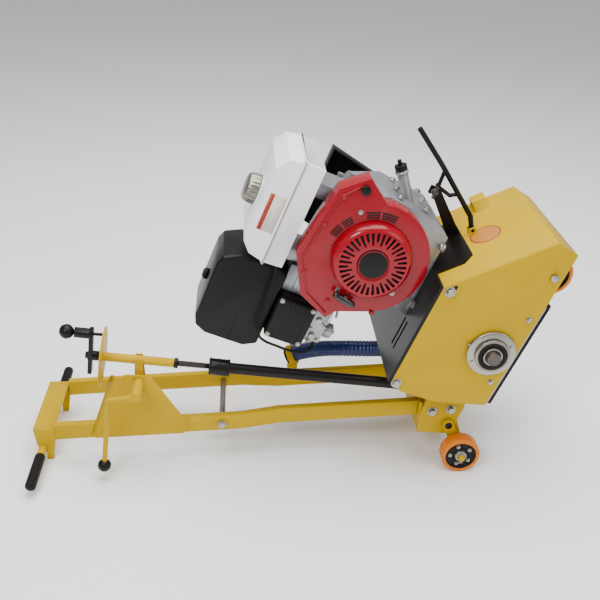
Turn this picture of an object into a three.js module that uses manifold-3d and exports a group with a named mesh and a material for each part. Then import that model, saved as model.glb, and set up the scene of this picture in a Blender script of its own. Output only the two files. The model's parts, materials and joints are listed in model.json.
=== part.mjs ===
// Walk-behind floor planer, tipped back on its handle with the lifting wheels down.
// Millimetres, +Z up. X runs from the grips to the cutting housing and Y from the operator's
// right (negative) to left (positive).
import * as THREE from "three";
import { mergeVertices } from "three/addons/utils/BufferGeometryUtils.js";
import Module from "manifold-3d";

const wasm = await Module();
wasm.setup();

// Clearances
const seam = 0.3;
const runningGap = 0.4;

// Handle frame
const armHeight = 44;
const armThickness = 20;
const armSlope = THREE.MathUtils.degToRad(3.85);
const armFootHeight = 60;
const wideHalf = 111;
const narrowHalf = 95;
const bendStart = 477;
const bendEnd = 577;
const crossbarWidth = 53;
const crossbarRight = 28;
const crossbarTop = 93;
const sheet = 4;
const endPlateThickness = 8;
const gripTubeRadius = 11;
const gripTubeX = -5;
const gripTubeZ = 34;
const gripRadius = 13.75;
const gripInner = 143;
const gripOuter = 263;
const gripEndWall = 7;
const spacerX = 453;
const spacerRadius = 8;
const spacerBoltRadius = 5;

// Axle beam
const beamWallX = 960;
const beamHalf = 112;
const beamPlate = 6;
const beamBottom = 81;
const beamWallTop = 173;

// Lift lever and crank line
const leverX = 250;
const leverZ = 245;
const leverShaftRadius = 8;
const leverBossRadius = 13;
const leverReach = 196;
const postHeight = 47;
const pinX = 1048;
const pinZ = 204;
const supportTubeRadius = 11;
const earSpace = 4;
const crankY = supportTubeRadius + earSpace - wideHalf;
const screwRadius = 7;
const indexDiscRadius = 75;
const indexHoleCircle = 61;
const plungerRadius = 4;
const pushTubeRadius = 14;
const trunnionPinRadius = 5;
const gussetStandOff = 14;
const gussetPlate = 4;

// Swing axle and wheels
const pivotX = 1037;
const pivotZ = 114;
const pivotRadius = 9.5;
const wheelRadius = 50;
const wheelX = 1067;
const rearAxleRadius = 8;
const rearAxleReach = 190;
const rearWheelInner = 140;
const rearWheelOuter = 178;
const leverEyePin = 5;

// Cutting housing, in its own frame: x to its front, z to its top
const housingX = 1105;
const housingZ = 215;
const housingTilt = THREE.MathUtils.degToRad(68.8);
const housingHalf = 186;
const sidePlate = 6;
const housingTop = 250;
const hoodFront = 449;
const hoodNoseHeight = 57;
const hoodTopEdge = 252;
const wallThickness = 5;
const drumX = 139;
const drumZ = 62;
const drumShaftRadius = 17;
const drumRadius = 73;
const drumHalf = 100;
const flangeRadius = 60;
const frontAxleX = 370;
const frontAxleZ = 23;
const frontAxleRadius = 6;
const frontWheelRadius = 50;
const frontWheelInner = 143;
const frontWheelOuter = 175;
const portHeight = 150;
const portY = 87;
const hoseRadius = 22.5;
const basePlate = 8;
const flapLength = 95;
const flapHalf = 115;
const barY = 20;

// Engine, in the housing's frame
const crankAxisX = 236;
const crankAxisZ = 420;
const crankcaseFront = -84;
const crankcaseBack = 95;
const crankRadius = 18;
const outputRadius = 12.7;
const shroudFront = -135;
const shroudRadius = 137;
const recoilFront = -165;
const headBack = 60;
const carburettorTop = 469;
const controlBoxTop = 569;
const tankBottom = 597;
const tankTop = 705;
const capRadius = 37;

// Belt drive on the left side
const guardGap = 10;
const guardDepth = 44;
const guardStart = housingHalf + guardGap;
const guardEnd = guardStart + guardDepth;
const beltStart = guardStart + 7;
const beltWidth = 17;
const beltThickness = 9;
const enginePulleyCore = 38;
const drumPulleyCore = 44;
const pulleyRim = 12;
const guardWall = 3;

const root = new THREE.Group();
const housing = new THREE.Group();
housing.position.set(housingX, 0, housingZ);
housing.rotation.y = -housingTilt;
root.add(housing);

// ---------- solids ----------

function toSolid(geometry) {
  const bare = geometry.clone();
  bare.deleteAttribute("normal");
  bare.deleteAttribute("uv");
  const merged = mergeVertices(bare, 1e-4);
  const vertProperties = Float32Array.from(merged.attributes.position.array);
  const triVerts = Uint32Array.from(merged.index.array);
  if (signedVolume(vertProperties, triVerts) < 0) {
    triVerts.reverse();
  }
  return new wasm.Manifold(new wasm.Mesh({ numProp: 3, vertProperties, triVerts }));
}

// Reversing the index list turns every triangle over, which is what an inward shape needs.
function signedVolume(positions, triangles) {
  const corner = (index) => new THREE.Vector3().fromArray(positions, 3 * triangles[index]);
  let volume = 0;
  for (let i = 0; i < triangles.length; i += 3) {
    volume += corner(i).dot(corner(i + 1).cross(corner(i + 2)));
  }
  return volume;
}

function toGeometry(solid) {
  const mesh = solid.getMesh();
  const geometry = new THREE.BufferGeometry();
  geometry.setAttribute("position", new THREE.BufferAttribute(mesh.vertProperties, 3));
  geometry.setIndex(new THREE.BufferAttribute(mesh.triVerts, 1));
  return geometry;
}

function joined(...pieces) {
  return toGeometry(pieces.map(toSolid).reduce((sum, piece) => sum.add(piece)));
}

function cut(base, ...tools) {
  return toGeometry(tools.map(toSolid).reduce((rest, tool) => rest.subtract(tool), toSolid(base)));
}

function box(x0, x1, y0, y1, z0, z1) {
  const geometry = new THREE.BoxGeometry(x1 - x0, y1 - y0, z1 - z0);
  return geometry.translate((x0 + x1) / 2, (y0 + y1) / 2, (z0 + z1) / 2);
}

function outline(points) {
  return new THREE.Shape(points.map(([x, z]) => new THREE.Vector2(x, z)));
}

// A plate with its outline in X and Z, reaching from y0 to y1.
function plate(shape, y0, y1, curveSegments = 12) {
  const geometry = new THREE.ExtrudeGeometry(shape, { depth: y1 - y0, bevelEnabled: false, curveSegments });
  return geometry.rotateX(Math.PI / 2).translate(0, y1, 0);
}

// A cylinder along Y.
function disc(x, z, radius, y0, y1, sides = 24) {
  return new THREE.CylinderGeometry(radius, radius, y1 - y0, sides).translate(x, (y0 + y1) / 2, z);
}

// A turned piece about a line along Y, from [radius, y] points.
function turned(profile, x, z, sides = 32) {
  const points = profile.map(([radius, y]) => new THREE.Vector2(radius, y));
  return new THREE.LatheGeometry(points, sides).translate(x, 0, z);
}

function rod(from, to, radius, sides = 12) {
  const start = new THREE.Vector3(...from);
  const end = new THREE.Vector3(...to);
  const along = end.clone().sub(start);
  const turn = new THREE.Quaternion();
  turn.setFromUnitVectors(new THREE.Vector3(0, 1, 0), along.clone().normalize());
  const middle = start.add(end).multiplyScalar(0.5);
  const geometry = new THREE.CylinderGeometry(radius, radius, along.length(), sides);
  return geometry.applyQuaternion(turn).translate(middle.x, middle.y, middle.z);
}

function ball(at, radius, sides = 12) {
  return new THREE.SphereGeometry(radius, sides, sides / 2).translate(...at);
}

// A bent round bar through the given points, with a ball filling each bend.
function bentRod(points, radius, sides = 12) {
  const pieces = [];
  for (let i = 1; i < points.length; i += 1) {
    pieces.push(rod(points[i - 1], points[i], radius, sides));
  }
  for (const bend of points.slice(1, -1)) {
    pieces.push(ball(bend, radius * 1.01, 8));
  }
  return joined(...pieces);
}

// An outline that follows a polyline on its left side with the given thickness.
function sheetOutline(points, thickness) {
  const line = points.map(([x, z]) => new THREE.Vector2(x, z));
  const sides = line.slice(1).map((end, i) => {
    const along = end.clone().sub(line[i]).normalize();
    return new THREE.Vector2(-along.y, along.x);
  });
  const inner = line.map((point, i) => {
    const before = sides[Math.max(i - 1, 0)];
    const after = sides[Math.min(i, sides.length - 1)];
    const mitre = before.clone().add(after);
    return point.clone().addScaledVector(mitre, thickness / (1 + before.dot(after)));
  });
  return new THREE.Shape([...line, ...inner.reverse()]);
}

// A point of the housing's frame in the main frame.
function fromHousing(x, z) {
  const cosine = Math.cos(housingTilt);
  const sine = Math.sin(housingTilt);
  return [housingX + x * cosine - z * sine, housingZ + x * sine + z * cosine];
}

// ---------- materials ----------

function material(color, roughness, metalness) {
  return new THREE.MeshStandardMaterial({ color, roughness, metalness });
}

const yellowPaint = () => material(0xf6b81a, 0.4, 0.1);
const blackPaint = () => material(0x231d1b, 0.45, 0.2);
const redPaint = () => material(0xcf1830, 0.3, 0.1);
const whitePlastic = () => material(0xe8e3ea, 0.35, 0);
const blackPlastic = () => material(0x1b191a, 0.5, 0);
const blackRubber = () => material(0x1f1b1a, 0.85, 0);
const steel = () => material(0xa9a8a4, 0.35, 0.9);
const darkSteel = () => material(0x4a4643, 0.5, 0.8);
const castAluminium = () => material(0xb4b8bd, 0.5, 0.8);
const orangeTyre = () => material(0xf08226, 0.6, 0);
const bluePlastic = () => material(0x1a3f8c, 0.45, 0);

function part(parent, name, geometry, coat) {
  const mesh = new THREE.Mesh(toGeometry(toSolid(geometry)), coat());
  mesh.name = name;
  parent.add(mesh);
  return mesh;
}

// ---------- handle frame ----------

function armTopAt(x) {
  return armFootHeight + armHeight / Math.cos(armSlope) + (x - crossbarRight) * Math.tan(armSlope);
}

function arm(side) {
  const length = (beamWallX - crossbarRight) / Math.cos(armSlope) + armHeight;
  const wide = side * wideHalf;
  const narrow = side * narrowHalf;
  const wideInside = wide - side * armThickness;
  const narrowInside = narrow - side * armThickness;
  const plan = outline([
    [-armHeight, wide], [bendStart, wide], [bendEnd, narrow], [length, narrow],
    [length, narrowInside], [bendEnd, narrowInside], [bendStart, wideInside], [-armHeight, wideInside],
  ]);
  const bar = new THREE.ExtrudeGeometry(plan, { depth: armHeight, bevelEnabled: false });
  bar.rotateY(-armSlope).translate(crossbarRight, 0, armFootHeight);
  const leftEnd = box(crossbarRight - 100, crossbarRight + seam, -200, 200, -50, 200);
  const rightEnd = box(beamWallX - seam, beamWallX + 100, -200, 200, 0, 300);
  const boltHole = disc(spacerX, spacerHeight(), spacerBoltRadius + seam, -200, 200, 12);
  return cut(bar, leftEnd, rightEnd, boltHole);
}

function spacerHeight() {
  return armTopAt(spacerX) - armHeight / 2;
}

function crossbar() {
  const left = crossbarRight - crossbarWidth;
  const inside = wideHalf - endPlateThickness - seam;
  const foldLine = [[left + 10, crossbarTop - 43], [left, crossbarTop], [crossbarRight, crossbarTop]];
  const fold = sheetOutline(foldLine, -sheet);
  return plate(fold, -inside, inside);
}

function endPlate(side) {
  const left = crossbarRight - crossbarWidth;
  const shape = outline([
    [left, crossbarTop], [crossbarRight, crossbarTop], [crossbarRight, 60],
    [20, 0], [4, 0], [4, 28], [-17, 42],
  ]);
  const inner = wideHalf - endPlateThickness;
  const body = plate(shape, Math.min(side * inner, side * wideHalf), Math.max(side * inner, side * wideHalf));
  return cut(body, disc(gripTubeX, gripTubeZ, gripTubeRadius + seam, -wideHalf - 10, wideHalf + 10, 20));
}

function grip(side) {
  const bore = gripTubeRadius + seam;
  const profile = [
    [0, gripOuter], [gripRadius - 2, gripOuter], [gripRadius, gripOuter - 2], [gripRadius, gripInner],
    [bore, gripInner], [bore, gripOuter - gripEndWall], [0, gripOuter - gripEndWall],
  ];
  return turned(profile.map(([radius, y]) => [radius, side * y]), gripTubeX, gripTubeZ, 20);
}

// A box-like bracket: its front stands off the arm, and a sloping wing on each side is welded to the arm.
function gusset() {
  const armFace = -wideHalf - seam;
  const back = armFace - gussetStandOff + gussetPlate / 2;
  const front = back - gussetPlate;
  const rearBottom = [136, 78];
  const rearTop = [197, 257];
  const frontTop = [356, 139];
  const frontBottom = [355, 92];
  const face = outline([
    rearBottom, rearTop, [220, leverZ + 22], [278, leverZ + 18], [305, 221], frontTop, frontBottom,
  ]);
  const wingEdge = 6;
  const wing = (bottom, top, lean) => {
    const edge = wingEdge * lean;
    const shape = outline([bottom, top, [top[0] + edge, top[1]], [bottom[0] + edge, bottom[1]]]);
    const strip = plate(shape, 0, armFace - front);
    const shear = new THREE.Matrix4().makeShear(0, 0, -lean, 0, 0, 0);
    return strip.applyMatrix4(shear).translate(0, front, 0);
  };
  const bush = disc(leverX, leverZ, leverShaftRadius + 5, front, armFace, 20);
  const wings = [wing(rearBottom, rearTop, 1), wing(frontBottom, frontTop, -1)];
  const solid = joined(plate(face, front, back), ...wings, bush);
  return cut(solid, disc(leverX, leverZ, leverShaftRadius + seam, -200, 0, 20));
}

function spacer() {
  const z = spacerHeight();
  const head = (y0) => disc(spacerX, z, 8.5, y0, y0 + 6, 6);
  const inside = wideHalf - armThickness - seam;
  return joined(
    disc(spacerX, z, spacerRadius, -inside, inside, 16),
    disc(spacerX, z, spacerBoltRadius, -wideHalf - 1, wideHalf + 1, 12),
    head(-wideHalf - seam - 6), head(wideHalf + seam),
  );
}

// Folded channel between two end plates, open at its top for the push tube.
function axleBeam() {
  const [wallTopX, wallTopZ] = fromHousing(-wallThickness - seam, 127);
  const [wallFootX, wallFootZ] = fromHousing(-wallThickness - seam, 26);
  const side = outline([
    [beamWallX, beamBottom + 4], [1076, 77], [1061, 123], [1075, 160], [wallFootX, wallFootZ],
    [wallTopX, wallTopZ], [beamWallX + 11, beamWallTop], [beamWallX, 126],
  ]);
  const channel = outline([
    [beamWallX, beamBottom + 4], [1070, 77.5], [1070, 84], [beamWallX + beamPlate, beamBottom + 10],
    [beamWallX + beamPlate, beamWallTop], [beamWallX, beamWallTop],
  ]);
  const solid = joined(
    plate(channel, -beamHalf - 1, beamHalf + 1),
    plate(side, -beamHalf - beamPlate, -beamHalf),
    plate(side, beamHalf, beamHalf + beamPlate),
  );
  return cut(solid, disc(pivotX, pivotZ, pivotRadius + seam, -200, 200, 20));
}

const hoseRoute = [
  [629, 100, 182], [662, 95, 199], [712, 84, 215], [765, 76, 222], [861, 74, 222], [905, 80, 222],
];

// The hose runs from its cuff on the arm to the elbow under the housing.
function dustHose() {
  const path = new THREE.CatmullRomCurve3(hoseRoute.map((point) => new THREE.Vector3(...point)));
  const ring = new THREE.Shape();
  ring.absarc(0, 0, hoseRadius, 0, 2 * Math.PI);
  return new THREE.ExtrudeGeometry(ring, {
    steps: 20, extrudePath: path, bevelEnabled: false, curveSegments: 6,
  });
}

function hoseBracket() {
  const [x, y, z] = hoseRoute[0];
  const [nextX, nextY, nextZ] = hoseRoute[1];
  const direction = new THREE.Vector3(nextX - x, nextY - y, nextZ - z).normalize();
  const start = new THREE.Vector3(x, y, z);
  const along = (distance) => direction.clone().multiplyScalar(distance).add(start).toArray();
  const outside = rod(along(6), along(22), hoseRadius + 6, 20);
  const inside = rod(along(-4), along(40), hoseRadius + 1.2, 20);
  const post = box(x - 2, x + 26, y - 23, y - 19, armTopAt(x + 26) + seam, z - 8);
  return cut(joined(outside, post), inside);
}

for (const [name, side] of [["right", -1], ["left", 1]]) {
  part(root, `${name}_arm`, arm(side), yellowPaint);
  part(root, `${name}_end_plate`, endPlate(side), yellowPaint);
  part(root, `${name}_grip`, grip(side), blackRubber);
}
part(root, "handle_crossbar", crossbar(), yellowPaint);
const gripTubeReach = gripOuter - gripEndWall - 1;
const gripTube = disc(gripTubeX, gripTubeZ, gripTubeRadius, -gripTubeReach, gripTubeReach, 20);
part(root, "grip_tube", gripTube, yellowPaint);
part(root, "gusset_plate", gusset(), yellowPaint);
part(root, "spacer_tube", spacer(), steel);
part(root, "axle_beam", axleBeam(), yellowPaint);
part(root, "dust_hose", dustHose(), bluePlastic);
part(root, "hose_bracket", hoseBracket(), yellowPaint);

// ---------- lift linkage ----------

const trunnionZ = leverZ + postHeight;
const crankTilt = Math.atan2(trunnionZ - pinZ, pinX - leverX);
const lineLength = Math.hypot(trunnionZ - pinZ, pinX - leverX);
const crankLine = new THREE.Group();
crankLine.position.set(leverX, crankY, trunnionZ);
crankLine.rotation.y = crankTilt;
root.add(crankLine);

// A cylinder along the crank line, which is the X axis of its own group.
function onLine(x0, x1, radius, sides = 20, y = 0, z = 0) {
  return rod([x0, y, z], [x1, y, z], radius, sides);
}

const discPlace = -89;
const discThickness = 3;
const tubeEnd = 86;
const crankArmStart = -122;
const crankArmEnd = -112;

function supportTube() {
  const spots = Array.from({ length: 8 }, (_, i) => (i * Math.PI) / 4 + Math.PI / 2);
  const indexHoles = spots.map((angle) => onLine(
    discPlace - 5, discPlace + 8, plungerRadius + runningGap, 8,
    indexHoleCircle * Math.cos(angle), indexHoleCircle * Math.sin(angle),
  ));
  const solid = joined(
    onLine(discPlace, discPlace + discThickness, indexDiscRadius, 28),
    onLine(discPlace, tubeEnd, supportTubeRadius),
    rod([0, -16, 0], [0, 16, 0], trunnionPinRadius, 16),
  );
  return cut(solid, onLine(discPlace - 5, tubeEnd + 5, screwRadius + runningGap), ...indexHoles);
}

const sleeveRadius = 13;
const nutStart = 172;
const nutEnd = 224;
const screwEnd = 300;

function crank() {
  const armBar = box(crankArmStart, crankArmEnd, -11, 11, -48, indexHoleCircle + sleeveRadius);
  const solid = joined(
    armBar,
    onLine(crankArmEnd - 1, discPlace - seam, 12),
    onLine(crankArmEnd - 1, screwEnd, screwRadius, 16),
    onLine(tubeEnd + seam, tubeEnd + 10, supportTubeRadius + 2),
    onLine(-157, crankArmEnd, sleeveRadius, 16, 0, indexHoleCircle),
  );
  return cut(solid, onLine(-170, -90, plungerRadius + 1 + runningGap, 12, 0, indexHoleCircle));
}

function crankKnob() {
  return joined(
    ball([-176, 0, indexHoleCircle], 18.5, 14),
    onLine(-174, crankArmEnd - 1, plungerRadius + 1, 12, 0, indexHoleCircle),
    onLine(-150, discPlace - seam, plungerRadius, 12, 0, indexHoleCircle),
  );
}

// The nut end takes the screw, and the fork's long holes carry the swing axle's pin.
function pushTube() {
  const forkHalfHeight = 13;
  const forkHalfWidth = 13.5;
  const forkHalfLength = 20;
  const holeHalfLength = leverEyePin + 9.7;
  const holeHalfHeight = leverEyePin + 3.4;
  const solid = joined(
    onLine(nutStart, nutEnd, 21, 24),
    onLine(nutEnd - 1, lineLength - forkHalfLength + 3, pushTubeRadius),
    box(
      lineLength - forkHalfLength, lineLength + forkHalfLength,
      -forkHalfWidth, forkHalfWidth, -forkHalfHeight, forkHalfHeight,
    ),
  );
  return cut(
    solid,
    onLine(nutStart - 5, screwEnd + 12, screwRadius + runningGap),
    box(lineLength - 32, lineLength + 40, -5, 5, -20, 20),
    box(lineLength - holeHalfLength, lineLength + holeHalfLength, -20, 20, -holeHalfHeight, holeHalfHeight),
  );
}

const rodY = -leverReach + 6;
const leverRodRadius = 6.5;
const leverElbow = [184, rodY, 235];
const leverTip = [163.4, rodY, 50];

// Shaft through the gusset, handle rod in front of it, and two ears that hold the support tube.
function liftLever() {
  const ears = supportTubeRadius + seam + 0.3;
  const earOutline = outline([
    [leverX - 12, leverZ - 10], [leverX + 12, leverZ - 10],
    [leverX + 9, trunnionZ + 9], [leverX - 9, trunnionZ + 9],
  ]);
  const earThickness = 3;
  const handle = bentRod([[leverX, rodY, leverZ], leverElbow, leverTip], leverRodRadius, 10);
  const gussetFront = -wideHalf - seam - gussetStandOff - gussetPlate / 2;
  const solid = joined(
    disc(leverX, leverZ, leverBossRadius, -leverReach, gussetFront - seam, 24),
    disc(leverX, leverZ, leverShaftRadius, -leverReach, crankY + ears + earThickness, 20),
    plate(earOutline, crankY - ears - earThickness, crankY - ears),
    plate(earOutline, crankY + ears, crankY + ears + earThickness),
    handle,
  );
  return cut(solid, disc(leverX, trunnionZ, trunnionPinRadius + seam, -150, -50, 16));
}

function leverBall() {
  const [tipX, tipY, tipZ] = leverTip;
  const stem = rod([tipX + 2, tipY, tipZ + 18], [tipX, tipY, tipZ - 1], leverRodRadius + seam, 12);
  return cut(ball([tipX - 1, tipY, tipZ - 8], 17, 14), stem);
}

// Cross shaft with a leg to each end of the wheel axle and one lever up to the push tube.
function swingAxle() {
  const legPlate = (y0, fromXZ, toXZ, width, thickness) => {
    const [x0, z0] = fromXZ;
    const [x1, z1] = toXZ;
    const length = Math.hypot(x1 - x0, z1 - z0);
    const across = [(-(z1 - z0) * width) / length, ((x1 - x0) * width) / length];
    const shape = outline([
      [x0 + across[0], z0 + across[1]], [x1 + across[0], z1 + across[1]],
      [x1 - across[0], z1 - across[1]], [x0 - across[0], z0 - across[1]],
    ]);
    return joined(plate(shape, y0, y0 + thickness), disc(x0, z0, width, y0, y0 + thickness, 20),
      disc(x1, z1, width, y0, y0 + thickness, 20));
  };
  const legStart = beamHalf + beamPlate + 2;
  const legThickness = 12;
  const reach = rearAxleReach - seam;
  return joined(
    disc(pivotX, pivotZ, pivotRadius, -legStart - legThickness, legStart + legThickness, 20),
    disc(wheelX, wheelRadius, rearAxleRadius, -reach, reach, 20),
    legPlate(legStart, [pivotX, pivotZ], [wheelX, wheelRadius], 14, legThickness),
    legPlate(-legStart - legThickness, [pivotX, pivotZ], [wheelX, wheelRadius], 14, legThickness),
    legPlate(crankY - 4, [pivotX, pivotZ], [pinX, pinZ], 11, 8),
    disc(pinX, pinZ, leverEyePin, crankY - 13, crankY + 13, 12),
  );
}

// A tyred wheel on the given axle, with a dished hub.
function wheel(x, z, radius, y0, y1, bore) {
  const hub = radius - 9.5;
  return turned([
    [bore, y0 + 1], [17, y0 + 1], [18, y0 + 6], [hub - 1, y0 + 6], [hub, y0],
    [radius, y0 + 4], [radius, y1 - 4],
    [hub, y1], [hub - 1, y1 - 6], [18, y1 - 6], [17, y1 - 1], [bore, y1 - 1], [bore, y0 + 1],
  ], x, z, 20);
}

part(crankLine, "support_tube", supportTube(), yellowPaint);
part(crankLine, "crank", crank(), blackPaint);
part(crankLine, "crank_knob", crankKnob(), blackPlastic);
part(crankLine, "push_tube", pushTube(), blackPaint);
part(root, "lift_lever", liftLever(), yellowPaint);
part(root, "lever_ball", leverBall(), blackPlastic);
part(root, "swing_axle", swingAxle(), yellowPaint);
const rearBore = rearAxleRadius + runningGap;
function rearWheel(y0, y1) {
  return wheel(wheelX, wheelRadius, wheelRadius, y0, y1, rearBore);
}

part(root, "right_rear_wheel", rearWheel(-rearWheelOuter, -rearWheelInner), orangeTyre);
part(root, "left_rear_wheel", rearWheel(rearWheelInner, rearWheelOuter), orangeTyre);

// ---------- cutting housing ----------

const innerHalf = housingHalf - sidePlate - seam;
const slopeRun = hoodFront - hoodTopEdge;
const slopeDrop = housingTop - hoodNoseHeight;
const slopeLength = Math.hypot(slopeRun, slopeDrop);

// A point on the hood's slope: distance down it from the top edge, and height off it.
function onSlope(distance, height) {
  const along = distance / slopeLength;
  const off = height / slopeLength;
  return [hoodTopEdge + slopeRun * along + slopeDrop * off, housingTop - slopeDrop * along + slopeRun * off];
}

function sidePlateSolid(side) {
  const throughAll = housingHalf + 14;
  const shape = outline([
    [0, 0], [hoodFront - 10, 0], [hoodFront, hoodNoseHeight], [hoodTopEdge, housingTop], [-25, housingTop],
    [-39, 216], [-36, 122],
  ]);
  const inner = side * (housingHalf - sidePlate);
  const outer = side * housingHalf;
  const body = plate(shape, Math.min(inner, outer), Math.max(inner, outer));
  return cut(
    body,
    disc(drumX, drumZ, 40, -throughAll, throughAll, 32),
    disc(frontAxleX, frontAxleZ, frontAxleRadius + seam, -throughAll, throughAll, 12),
  );
}

const lugHeight = 26;
const barPivot = onSlope(122, 11);

// Folded front cover with a lifting lug and the two ears of the lift bar.
function hood() {
  const fold = sheetOutline([onSlope(0, 0), [hoodFront, hoodNoseHeight], [hoodFront - 10, 0]], -sheet);
  const lugShape = outline([
    [118, -1], [128, lugHeight], [168, lugHeight], [177, -1],
    [172, -1], [164, lugHeight - 5], [132, lugHeight - 5],
    [123, -1],
  ]);
  const lug = new THREE.ExtrudeGeometry(lugShape, { depth: 38, bevelEnabled: false });
  const [lugX, lugZ] = onSlope(155, 0);
  const downSlope = new THREE.Vector3(slopeRun, 0, -slopeDrop).normalize();
  const offSlope = new THREE.Vector3(slopeDrop, 0, slopeRun).normalize();
  const basis = new THREE.Matrix4().makeBasis(new THREE.Vector3(0, 1, 0), offSlope, downSlope);
  lug.applyMatrix4(basis).translate(lugX, 0, lugZ);
  const earShape = outline([onSlope(110, -1), onSlope(134, -1), onSlope(130, 18), onSlope(114, 18)]);
  const ear = (y0) => plate(earShape, y0, y0 + 4);
  const solid = joined(plate(fold, -innerHalf, innerHalf), lug, ear(barY - 12), ear(barY + 8));
  return cut(solid, disc(barPivot[0], barPivot[1], 4 + seam, barY - 20, barY + 20, 12));
}

// Rear wall with the elbow that takes the dust hose.
function rearWall() {
  const wall = box(-wallThickness, 0, -innerHalf, innerHalf, 12, housingTop - seam);
  const hoseEnd = hoseRoute.at(-1);
  const tilt = new THREE.Matrix4().makeRotationY(housingTilt);
  const toHousing = new THREE.Matrix4().makeTranslation(-housingX, 0, -housingZ).premultiply(tilt);
  const start = new THREE.Vector3(hoseEnd[0] + 0.6, hoseEnd[1], hoseEnd[2]).applyMatrix4(toHousing);
  const before = new THREE.Vector3(hoseEnd[0] + 16, hoseEnd[1] + 2, hoseEnd[2]).applyMatrix4(toHousing);
  const bend = new THREE.Vector3(-45, portY, portHeight);
  const end = new THREE.Vector3(-2, portY, portHeight);
  const path = new THREE.CubicBezierCurve3(start, before, bend, end);
  const ring = new THREE.Shape();
  ring.absarc(0, 0, hoseRadius + 1.5, 0, 2 * Math.PI);
  const elbow = new THREE.ExtrudeGeometry(ring, {
    steps: 10, extrudePath: path, bevelEnabled: false, curveSegments: 8,
  });
  return joined(wall, elbow);
}

// Engine plate with its front flap on the slope and the post of the lift bar.
function engineBase() {
  const bottom = housingTop + seam;
  const top = bottom + basePlate;
  const slabEnd = plate(outline([
    [-25, bottom], [hoodTopEdge, bottom], [hoodTopEdge + 4, bottom + 3], [hoodTopEdge, top], [-25, top],
  ]), -housingHalf, housingHalf);
  const chamfer = 26;
  const flapShape = outline([
    [-3, -flapHalf], [flapLength - chamfer, -flapHalf], [flapLength, -flapHalf + chamfer],
    [flapLength, flapHalf - chamfer], [flapLength - chamfer, flapHalf], [-3, flapHalf],
  ]);
  const flap = new THREE.ExtrudeGeometry(flapShape, { depth: sheet, bevelEnabled: false });
  const [flapX, flapZ] = onSlope(0, 0.6);
  flap.rotateY(Math.atan2(slopeDrop, slopeRun)).translate(flapX, 0, flapZ);
  const post = plate(outline([
    onSlope(60, 2), onSlope(92, 2), [408, 290], [402, 306], [390, 304],
  ]), barY + 14, barY + 19);
  const slot = (y) => box(30, 110, y, y + 9, bottom - 5, top + 5);
  return cut(joined(slabEnd, flap, post), slot(-118), slot(-95), slot(86), slot(109));
}

function skirtStrip(side) {
  const outer = side * innerHalf;
  const inner = side * (innerHalf - 3);
  return box(3, 293, Math.min(outer, inner), Math.max(outer, inner), -6, 20);
}

function skirtRubber(side) {
  const outer = side * (innerHalf - 3 - seam);
  const inner = side * (innerHalf - 9 - seam);
  return box(3, 293, Math.min(outer, inner), Math.max(outer, inner), -16, 20);
}

// Flange with its bearing seat; the inside part fills the hole in the side plate.
function bearingFlange(side, reach) {
  const face = housingHalf + seam;
  const bore = drumShaftRadius + runningGap;
  const seat = housingHalf - 14;
  const profile = [
    [bore, seat], [38, seat], [38, face],
    [flangeRadius, face], [flangeRadius, face + 7], [flangeRadius - 2, face + 8],
    [42, face + 8], [40, housingHalf + reach], [bore, housingHalf + reach], [bore, seat],
  ];
  return turned(profile.map(([radius, y]) => [radius, side * y]), drumX, drumZ, 24);
}

function drum() {
  const rodCircle = 52;
  const rods = Array.from({ length: 6 }, (_, i) => (i * Math.PI) / 3);
  const cutters = rods.map((angle) => disc(
    drumX + rodCircle * Math.cos(angle), drumZ + rodCircle * Math.sin(angle), drumRadius - rodCircle,
    -drumHalf + 8, drumHalf - 8, 8,
  ));
  const solid = joined(
    disc(drumX, drumZ, 62, -drumHalf, -drumHalf + 10, 24),
    disc(drumX, drumZ, 62, drumHalf - 10, drumHalf, 24),
    disc(drumX, drumZ, 34, -drumHalf, drumHalf, 24),
    ...cutters,
  );
  return cut(solid, disc(drumX, drumZ, drumShaftRadius + seam, -200, 200, 24));
}

function frontAxle() {
  const head = (y0) => disc(frontAxleX, frontAxleZ, 10, y0, y0 + 6, 6);
  const face = housingHalf + seam;
  const bar = disc(frontAxleX, frontAxleZ, frontAxleRadius, -face - 1, face + 1, 12);
  return joined(bar, head(-face - 6), head(face));
}

// Round bar with a branch to the clamp and a short brace between them.
function liftBar() {
  const radius = 6.5;
  const main = [barPivot, [376, 192], [466, 318], [526, 410]];
  const clamp = [414, 302];
  const at = ([x, z]) => [x, barY, z];
  const branch = rod(at([457, 306]), at(clamp), 5, 8);
  const brace = rod(at([415, 247]), at([407, 262]), 5, 8);
  const strut = rod(at(clamp), at([404, 264]), 5, 8);
  const pin = disc(barPivot[0], barPivot[1], 4, barY - 13, barY + 13, 12);
  const clampPin = rod(at(clamp), [clamp[0], barY + 13.5, clamp[1]], 5, 10);
  return joined(bentRod(main.map(at), radius, 8), branch, brace, strut, pin, clampPin,
    ball(at(clamp), 6, 8), ball(at([405.5, 263]), 6, 8));
}

const rightShaftEnd = housingHalf + 34;
const leftShaftEnd = guardEnd - 14;
const frontBore = frontAxleRadius + runningGap;
for (const [name, side, reach] of [["right", -1, 19], ["left", 1, 9.5]]) {
  part(housing, `${name}_side_plate`, sidePlateSolid(side), yellowPaint);
  part(housing, `${name}_bearing_flange`, bearingFlange(side, reach), steel);
  part(housing, `${name}_skirt_strip`, skirtStrip(side), castAluminium);
  part(housing, `${name}_skirt_rubber`, skirtRubber(side), blackRubber);
}
part(housing, "hood", hood(), yellowPaint);
part(housing, "rear_wall", rearWall(), yellowPaint);
part(housing, "engine_base", engineBase(), blackPaint);
part(housing, "front_skirt", box(293.3, 300, -innerHalf, innerHalf, -14, 46), blackRubber);
part(housing, "drum_shaft", disc(drumX, drumZ, drumShaftRadius, -rightShaftEnd, leftShaftEnd, 24), darkSteel);
part(housing, "drum", drum(), darkSteel);
part(housing, "front_axle", frontAxle(), steel);
const frontWheel = (y0, y1) => wheel(frontAxleX, frontAxleZ, frontWheelRadius, y0, y1, frontBore);
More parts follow.
